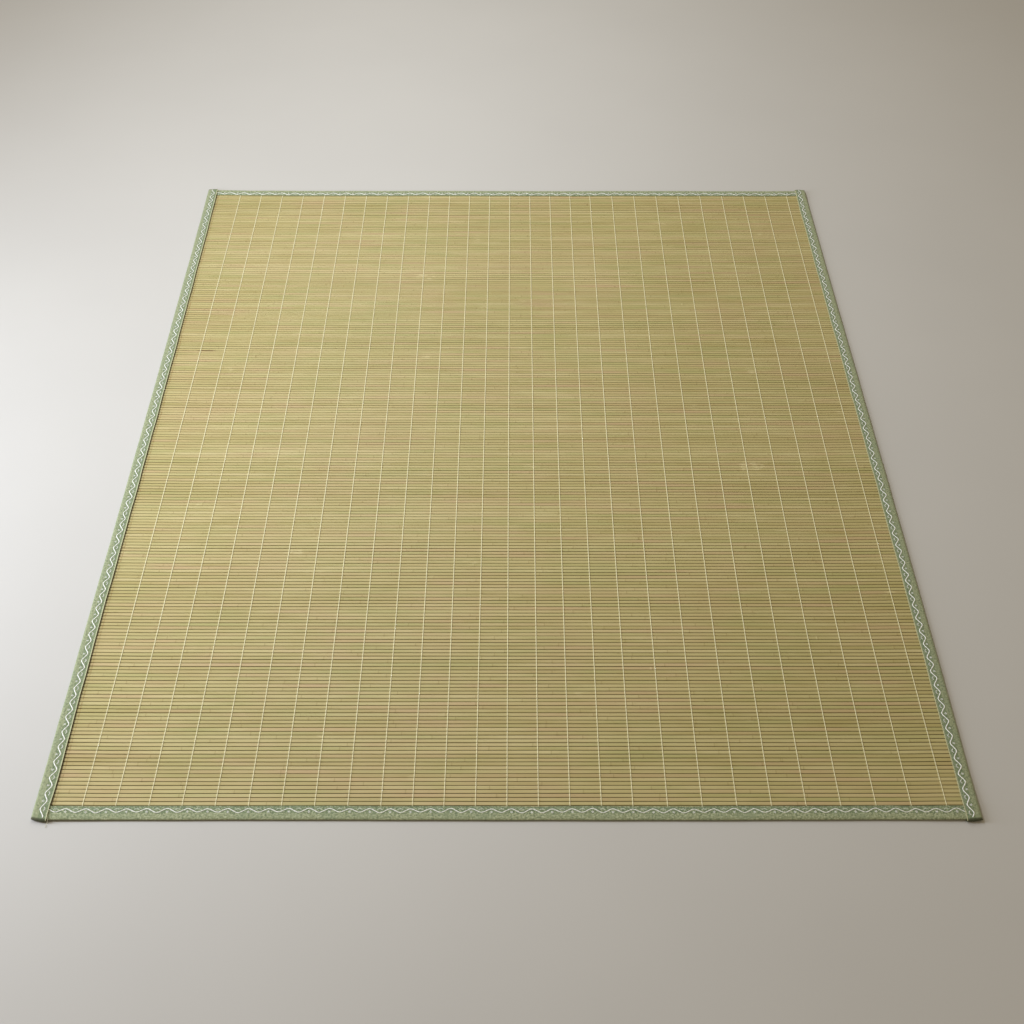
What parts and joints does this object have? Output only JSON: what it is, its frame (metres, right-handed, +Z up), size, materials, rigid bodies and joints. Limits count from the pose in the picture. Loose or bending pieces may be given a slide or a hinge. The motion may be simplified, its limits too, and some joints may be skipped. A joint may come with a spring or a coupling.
{
  "type": "bamboo mat",
  "caption": "Flat floor mat of split-bamboo slats woven side by side with warp threads, bound along all four edges with folded woven tape.",
  "frame": {"origin": "on the surface that the mat lies on, under the middle of the mat", "axes": "+X along the slats to the right, +Y along the warp threads from the near edge to the far edge, +Z up"},
  "size_m": [1.5, 1.95, 0.0076],
  "materials": {
    "bamboo_slats": "dry split bamboo, satin skin side up",
    "binding_tape": "woven sage green tape with a pale vine pattern",
    "warp_thread": "twisted cream thread"
  },
  "bodies": {
    "root": {"slat_panel": "bamboo_slats", "binding_left": "binding_tape", "binding_right": "binding_tape", "binding_near": "binding_tape", "binding_far": "binding_tape", "thread_01": "warp_thread", "thread_02": "warp_thread", "thread_03": "warp_thread", "thread_04": "warp_thread", "thread_05": "warp_thread", "thread_06": "warp_thread", "thread_07": "warp_thread", "thread_08": "warp_thread", "thread_09": "warp_thread", "thread_10": "warp_thread", "thread_11": "warp_thread", "thread_12": "warp_thread", "thread_13": "warp_thread", "thread_14": "warp_thread", "thread_15": "warp_thread", "thread_16": "warp_thread", "thread_17": "warp_thread", "thread_18": "warp_thread", "thread_19": "warp_thread", "thread_20": "warp_thread", "thread_21": "warp_thread", "thread_22": "warp_thread", "thread_23": "warp_thread", "thread_24": "warp_thread", "thread_25": "warp_thread", "thread_26": "warp_thread", "thread_27": "warp_thread"}
  },
  "joints": []
}
